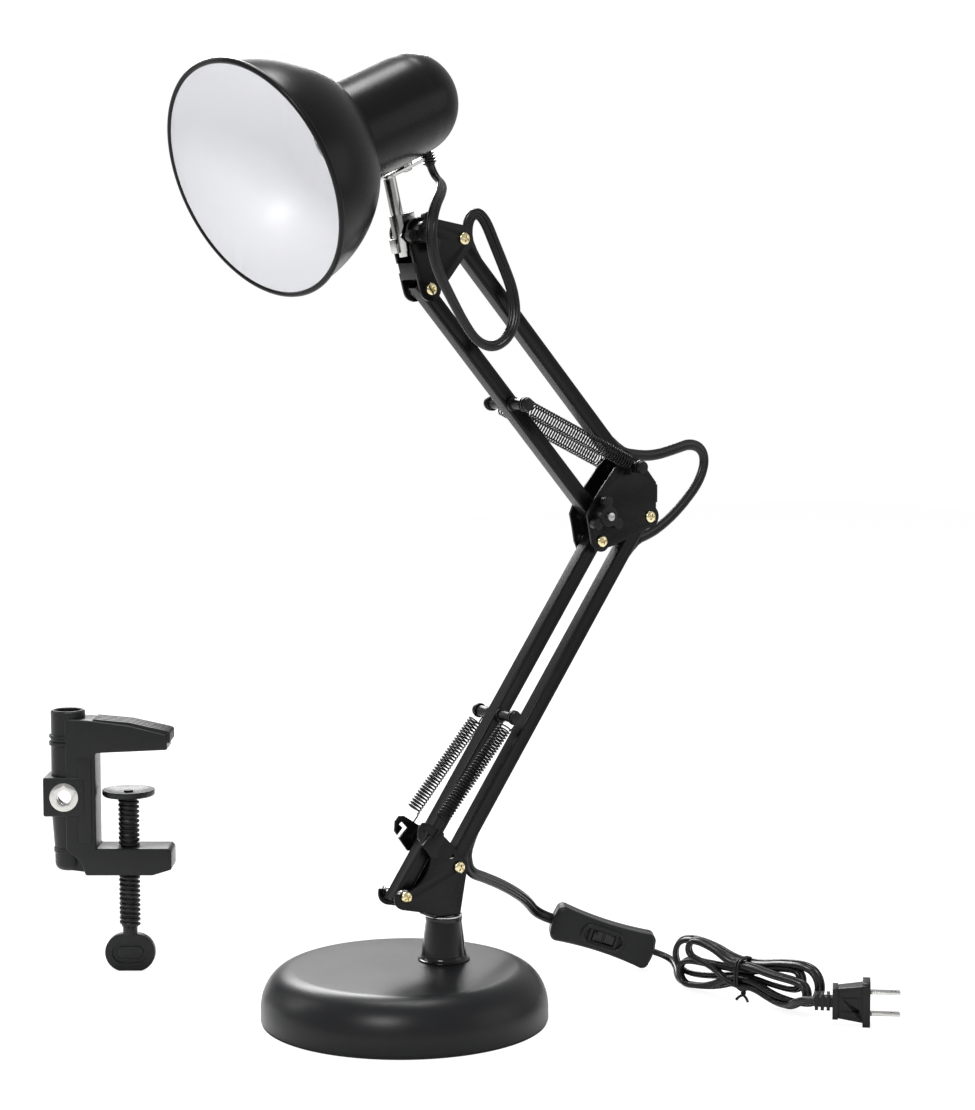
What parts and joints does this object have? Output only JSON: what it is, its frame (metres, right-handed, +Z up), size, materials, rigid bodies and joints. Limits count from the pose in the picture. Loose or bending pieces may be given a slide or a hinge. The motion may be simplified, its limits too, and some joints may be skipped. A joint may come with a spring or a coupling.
{
  "type": "architect desk lamp",
  "caption": "Architect lamp on a weighted dome base, two sprung parallel arm pairs, bell shade, in-line rocker switch, coiled cord with plug, and a loose table clamp.",
  "frame": {"origin": "centre of the base's underside, on the table", "axes": "+Z up, the arms fold in the XZ plane, the head points to -X, the knobs face -Y"},
  "size_m": [0.3668, 0.4119, 0.5627],
  "materials": {
    "satin_dark": "satin dark grey paint",
    "gloss_black": "gloss black",
    "black_metal": "black paint",
    "zinc": "bright zinc plate",
    "brass": "plain brass",
    "black_plastic": "matte black",
    "dark_plastic": "matte dark grey",
    "iron": "raw casting",
    "pad": "foam rubber",
    "cord": "soft vinyl",
    "ceramic": "moulded socket",
    "nickel": "nickel plate"
  },
  "bodies": {
    "base": {"base_shell": "satin_dark", "base_weight": "iron", "base_pad": "pad", "post_collar": "gloss_black", "collar_nut": "zinc", "swivel_washer": "zinc", "cord_lead": "cord", "switch_lower_shell": "dark_plastic", "switch_upper_shell": "dark_plastic", "cord_to_hank": "cord", "cord_hank": "cord", "twist_tie": "black_plastic", "cord_to_plug": "cord", "plug_body": "black_plastic", "plug_blades": "nickel", "clamp_frame": "dark_plastic", "clamp_insert": "nickel"},
    "post": {"swivel_pin": "zinc", "lower_bracket": "black_metal", "lower_bracket_screws": "brass", "lower_fasteners": "zinc"},
    "lower_main_arm": {"lower_main_rod": "black_metal", "lower_spring_pin": "black_plastic", "lower_spring_front": "black_metal", "lower_spring_rear": "black_metal"},
    "lower_link_arm": {"lower_link_rod": "black_metal", "lower_cord_guides": "black_plastic", "cord_in_lower_rod": "cord"},
    "elbow": {"elbow_bracket": "black_metal", "elbow_screws": "brass", "elbow_fasteners": "zinc", "elbow_spring_pin": "black_plastic", "elbow_cord_loop": "cord"},
    "elbow_knob": {"elbow_knob": "black_plastic"},
    "upper_main_arm": {"upper_main_rod": "black_metal", "upper_spring_pin": "black_plastic", "upper_spring_front": "black_metal", "upper_spring_rear": "black_metal"},
    "upper_link_arm": {"upper_link_rod": "black_metal", "upper_cord_guides": "black_plastic", "cord_in_upper_rod": "cord"},
    "top": {"top_bracket": "black_metal", "top_screws": "brass", "top_fasteners": "zinc", "head_cord_loop": "cord"},
    "head_knob": {"head_knob": "black_plastic"},
    "head_yoke": {"stem_strap": "zinc"},
    "head": {"stem": "zinc", "strip_bracket": "zinc", "strip_screw": "zinc", "shade": "black_metal", "socket_housing": "black_metal", "lamp_socket": "ceramic", "socket_contacts": "brass", "strain_relief": "black_plastic"},
    "rocker": {"switch_rocker": "gloss_black"},
    "clamp_pad": {"clamp_pad": "dark_plastic"},
    "clamp_screw": {"clamp_screw": "dark_plastic"}
  },
  "joints": [
    {"name": "post_swivel", "type": "hinge", "parent": "base", "child": "post", "pos_m": [0.0275, 0, 0.05], "axis": [0, 0, 1], "range_deg": [-170, 170], "deforming": ["cord_lead"]},
    {"name": "lower_fold", "type": "hinge", "parent": "post", "child": "lower_main_arm", "pos_m": [-0.005, 0, 0.075], "axis": [0, 1, 0], "range_deg": [-45, 12], "deforming": ["lower_spring_front", "lower_spring_rear", "cord_lead", "elbow_cord_loop"]},
    {"name": "lower_link_fold", "type": "hinge", "parent": "post", "child": "lower_link_arm", "pos_m": [0.03202, 0, 0.08848], "axis": [0, 1, 0], "range_deg": [-45, 12], "deforming": ["cord_lead", "elbow_cord_loop"]},
    {"name": "elbow_level", "type": "hinge", "parent": "lower_link_arm", "child": "elbow", "pos_m": [0.17335, 0, 0.29031], "axis": [0, 1, 0], "range_deg": [-12, 45], "deforming": ["elbow_cord_loop"]},
    {"name": "upper_fold", "type": "hinge", "parent": "elbow", "child": "upper_main_arm", "pos_m": [0.13633, 0, 0.29224], "axis": [0, 1, 0], "range_deg": [-35, 50], "deforming": ["upper_spring_front", "upper_spring_rear", "elbow_cord_loop", "head_cord_loop"]},
    {"name": "upper_link_fold", "type": "hinge", "parent": "elbow", "child": "upper_link_arm", "pos_m": [0.15912, 0, 0.32151], "axis": [0, 1, 0], "range_deg": [-35, 50], "deforming": ["elbow_cord_loop", "head_cord_loop"]},
    {"name": "top_level", "type": "hinge", "parent": "upper_link_arm", "child": "top", "pos_m": [0.03596, 0, 0.45687], "axis": [0, 1, 0], "range_deg": [-50, 35], "deforming": ["head_cord_loop"]},
    {"name": "head_tilt", "type": "hinge", "parent": "top", "child": "head_yoke", "pos_m": [0.00557, 0, 0.45979], "axis": [0, 1, 0], "range_deg": [-50, 45], "deforming": ["head_cord_loop"]},
    {"name": "head_turn", "type": "hinge", "parent": "head_yoke", "child": "head", "pos_m": [-0.0084, 0, 0.4892], "axis": [-0.2399, 0, 0.9708], "range_deg": [-120, 120], "deforming": ["head_cord_loop"]},
    {"name": "elbow_knob_turn", "type": "hinge", "parent": "elbow", "child": "elbow_knob", "pos_m": [0.13633, 0, 0.29224], "axis": [0, -1, 0], "range_deg": [0, 270]},
    {"name": "head_knob_turn", "type": "hinge", "parent": "top", "child": "head_knob", "pos_m": [0.00557, 0, 0.45979], "axis": [0, -1, 0], "range_deg": [0, 270]},
    {"name": "rocker_tip", "type": "hinge", "parent": "base", "child": "rocker", "pos_m": [0.16027, 0.01908, 0.02275], "axis": [0.2699, -0.1706, 0.9477], "range_deg": [-16, 0]},
    {"name": "clamp_travel", "type": "slide", "parent": "base", "child": "clamp_pad", "axis": [0, 0, 1], "range_m": [-0.028, 0.024]},
    {"name": "clamp_turn", "type": "hinge", "parent": "clamp_pad", "child": "clamp_screw", "pos_m": [-0.083, 0.194, 0], "axis": [0, 0, 1], "range_deg": [-3400, 3400]}
  ],
  "couplings": [
    {"joint": "lower_link_fold", "follows": "lower_fold", "ratio": 1},
    {"joint": "elbow_level", "follows": "lower_fold", "ratio": -1},
    {"joint": "upper_link_fold", "follows": "upper_fold", "ratio": 1},
    {"joint": "top_level", "follows": "upper_fold", "ratio": -1},
    {"joint": "clamp_turn", "follows": "clamp_travel", "rad_per_m": 2094.4}
  ]
}
